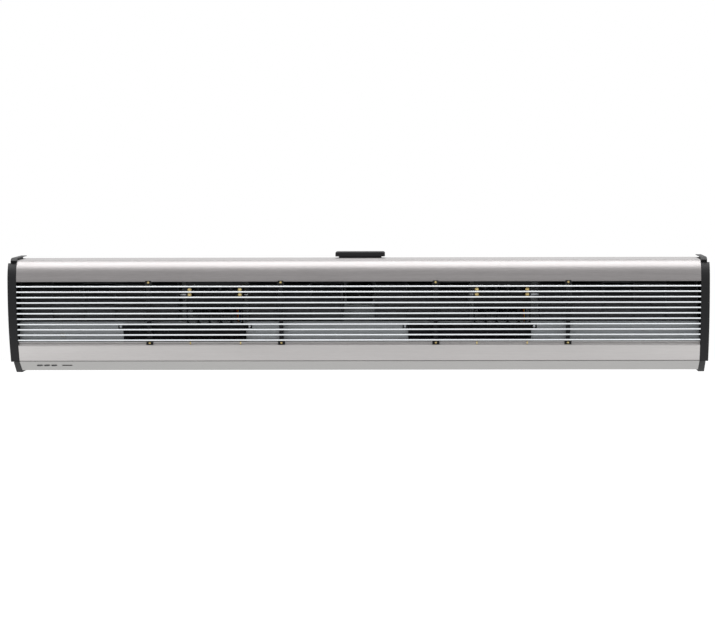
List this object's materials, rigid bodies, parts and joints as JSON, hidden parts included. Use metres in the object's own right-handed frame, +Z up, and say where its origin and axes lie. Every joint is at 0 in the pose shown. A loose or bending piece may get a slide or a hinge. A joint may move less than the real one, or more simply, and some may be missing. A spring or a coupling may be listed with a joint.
{
  "type": "air curtain",
  "caption": "Wall-mounted air curtain: curved barred intake, cross-flow impellers on double-ended motors, and a slot below that blows a sheet of air across a doorway.",
  "frame": {"origin": "centre of the wall bracket's rear face, on the wall plane", "axes": "+X along the case to the right seen from the front, +Y into the wall, +Z up"},
  "size_m": [1.2, 0.19, 0.2072],
  "materials": {
    "painted_shell": "silver-grey satin paint",
    "painted_front": "light silver-grey satin paint",
    "polished_bars": "bright polished",
    "black_plastic": "fine-grained matte moulding",
    "galvanised_sheet": "galvanised, soft spangle",
    "fan_plastic": "matte moulding",
    "motor_casing": "dark satin paint",
    "bearing_steel": "ground",
    "yellow_zinc": "yellow-passivated zinc",
    "circuit_board": "coated laminate",
    "pale_nylon": "matte moulding",
    "black_rubber": "matte",
    "dark_lens": "gloss"
  },
  "bodies": {
    "root": {"top_panel": "painted_shell", "lower_front_panel": "painted_front", "chin_panel": "painted_front", "slat_01": "polished_bars", "slat_02": "polished_bars", "slat_03": "polished_bars", "slat_04": "polished_bars", "slat_05": "polished_bars", "slat_06": "polished_bars", "slat_07": "polished_bars", "slat_08": "polished_bars", "slat_09": "polished_bars", "slat_10": "polished_bars", "slat_11": "polished_bars", "grille_rib_1": "black_plastic", "grille_rib_2": "black_plastic", "grille_rib_3": "black_plastic", "grille_rib_4": "black_plastic", "end_cap_left": "black_plastic", "end_cap_right": "black_plastic", "end_trim_left": "black_plastic", "end_trim_right": "black_plastic", "centre_pedestal": "black_plastic", "terminal_cover": "black_plastic", "motor_guard_left": "black_plastic", "motor_guard_right": "black_plastic", "control_box_left": "black_plastic", "control_box_right": "black_plastic", "wall_bracket": "galvanised_sheet", "rear_housing": "galvanised_sheet", "scroll": "galvanised_sheet", "stabiliser_plate": "galvanised_sheet", "motor_left": "motor_casing", "motor_right": "motor_casing", "centre_bearing_left": "bearing_steel", "centre_bearing_right": "bearing_steel", "motor_bracket_left": "yellow_zinc", "motor_bracket_right": "yellow_zinc", "key_board": "circuit_board", "control_board": "circuit_board", "terminal_block": "pale_nylon", "run_capacitor_left": "pale_nylon", "run_capacitor_right": "pale_nylon", "end_bearing_left": "black_rubber", "end_bearing_right": "black_rubber", "cable_gland": "black_rubber", "receiver_window": "dark_lens"},
    "rotor_left": {"motor_shaft_left": "bearing_steel", "impeller_outer_left": "fan_plastic", "impeller_inner_left": "fan_plastic"},
    "rotor_right": {"motor_shaft_right": "bearing_steel", "impeller_outer_right": "fan_plastic", "impeller_inner_right": "fan_plastic"},
    "vane": {"outlet_vane": "painted_shell"},
    "off_key": {"key_off": "black_plastic"},
    "low_key": {"key_low": "black_plastic"},
    "high_key": {"key_high": "black_plastic"}
  },
  "joints": [
    {"name": "rotor_left_spin", "type": "hinge", "parent": "root", "child": "rotor_left", "pos_m": [-0.246, -0.095, 0.015], "axis": [1, 0, 0], "continuous": true},
    {"name": "rotor_right_spin", "type": "hinge", "parent": "root", "child": "rotor_right", "pos_m": [0.246, -0.095, 0.015], "axis": [1, 0, 0], "continuous": true},
    {"name": "vane_tilt", "type": "hinge", "parent": "root", "child": "vane", "pos_m": [0, -0.048, -0.098], "axis": [1, 0, 0], "range_deg": [-20, 20]},
    {"name": "key_off_press", "type": "slide", "parent": "root", "child": "off_key", "axis": [0, 0.3348, 0.9423], "range_m": [0, 0.0012], "stiffness_N_per_m": 250, "springref_m": -0.001},
    {"name": "key_low_press", "type": "slide", "parent": "root", "child": "low_key", "axis": [0, 0.3348, 0.9423], "range_m": [0, 0.0012], "stiffness_N_per_m": 250, "springref_m": -0.001},
    {"name": "key_high_press", "type": "slide", "parent": "root", "child": "high_key", "axis": [0, 0.3348, 0.9423], "range_m": [0, 0.0012], "stiffness_N_per_m": 250, "springref_m": -0.001}
  ]
}
